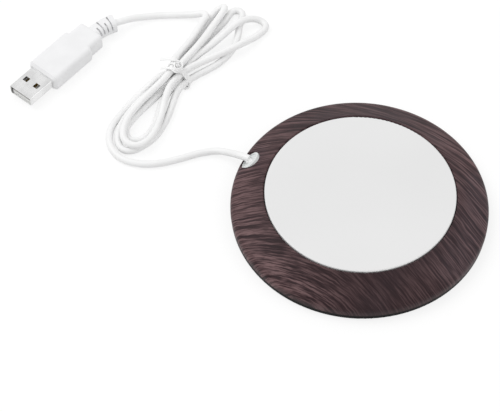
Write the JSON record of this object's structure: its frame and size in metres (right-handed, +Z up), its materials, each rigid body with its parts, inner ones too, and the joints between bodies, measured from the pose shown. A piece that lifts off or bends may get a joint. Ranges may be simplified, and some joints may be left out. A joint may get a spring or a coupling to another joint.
{
  "type": "electric mug warmer",
  "caption": "Low round cup warmer: a flat heated plate in a domed ring on rubber feet, with a thin tied cord that ends in a flat USB power plug.",
  "frame": {"origin": "on the table, under the middle of the heating plate", "axes": "+Z up, out of the heating plate; the cord leaves the ring towards -X and +Y and lies on the table on that side"},
  "size_m": [0.1975, 0.1617, 0.0135],
  "materials": {
    "wood_grain_shell": "satin, dark wood-grain print",
    "white_coated_plate": "satin white heat-proof coating",
    "silicone_gasket": "matte",
    "heater_film": "amber film",
    "heater_foil": "etched foil",
    "felt_pad": "pressed fibre",
    "zinc_steel": "zinc plated",
    "cutout_body": "moulded",
    "black_housing": "fine texture",
    "black_rubber": "matte",
    "white_soft_plastic": "satin soft plastic",
    "red_sheath": "satin",
    "black_sheath": "satin",
    "tie_plastic": "thin glossy ribbon",
    "plug_shell": "nickel plated",
    "plug_insulator": "satin",
    "gold_contact": "gold flash"
  },
  "bodies": {
    "root": {"bezel_ring": "wood_grain_shell", "heating_plate": "white_coated_plate", "plate_gasket": "silicone_gasket", "heater_film": "heater_film", "heater_track": "heater_foil", "insulation_pad": "felt_pad", "pressure_plate": "zinc_steel", "pressure_plate_screws": "zinc_steel", "heater_terminals": "heater_foil", "thermal_cutout": "cutout_body", "cutout_clip": "zinc_steel", "base_cover": "black_housing", "base_screws": "zinc_steel", "rubber_foot_1": "black_rubber", "rubber_foot_2": "black_rubber", "rubber_foot_3": "black_rubber", "rubber_foot_4": "black_rubber", "cord_grommet": "white_soft_plastic", "cord_clamp": "black_housing", "cord_clamp_screws": "zinc_steel", "cord_inner": "white_soft_plastic", "lead_wire_red": "red_sheath", "lead_wire_black": "black_sheath", "cord_tail": "white_soft_plastic", "cord_hank": "white_soft_plastic", "cord_lead": "white_soft_plastic", "twist_tie": "tie_plastic", "usb_overmould": "white_soft_plastic", "usb_shell": "plug_shell", "usb_tongue": "plug_insulator", "usb_contacts": "gold_contact"}
  },
  "joints": []
}
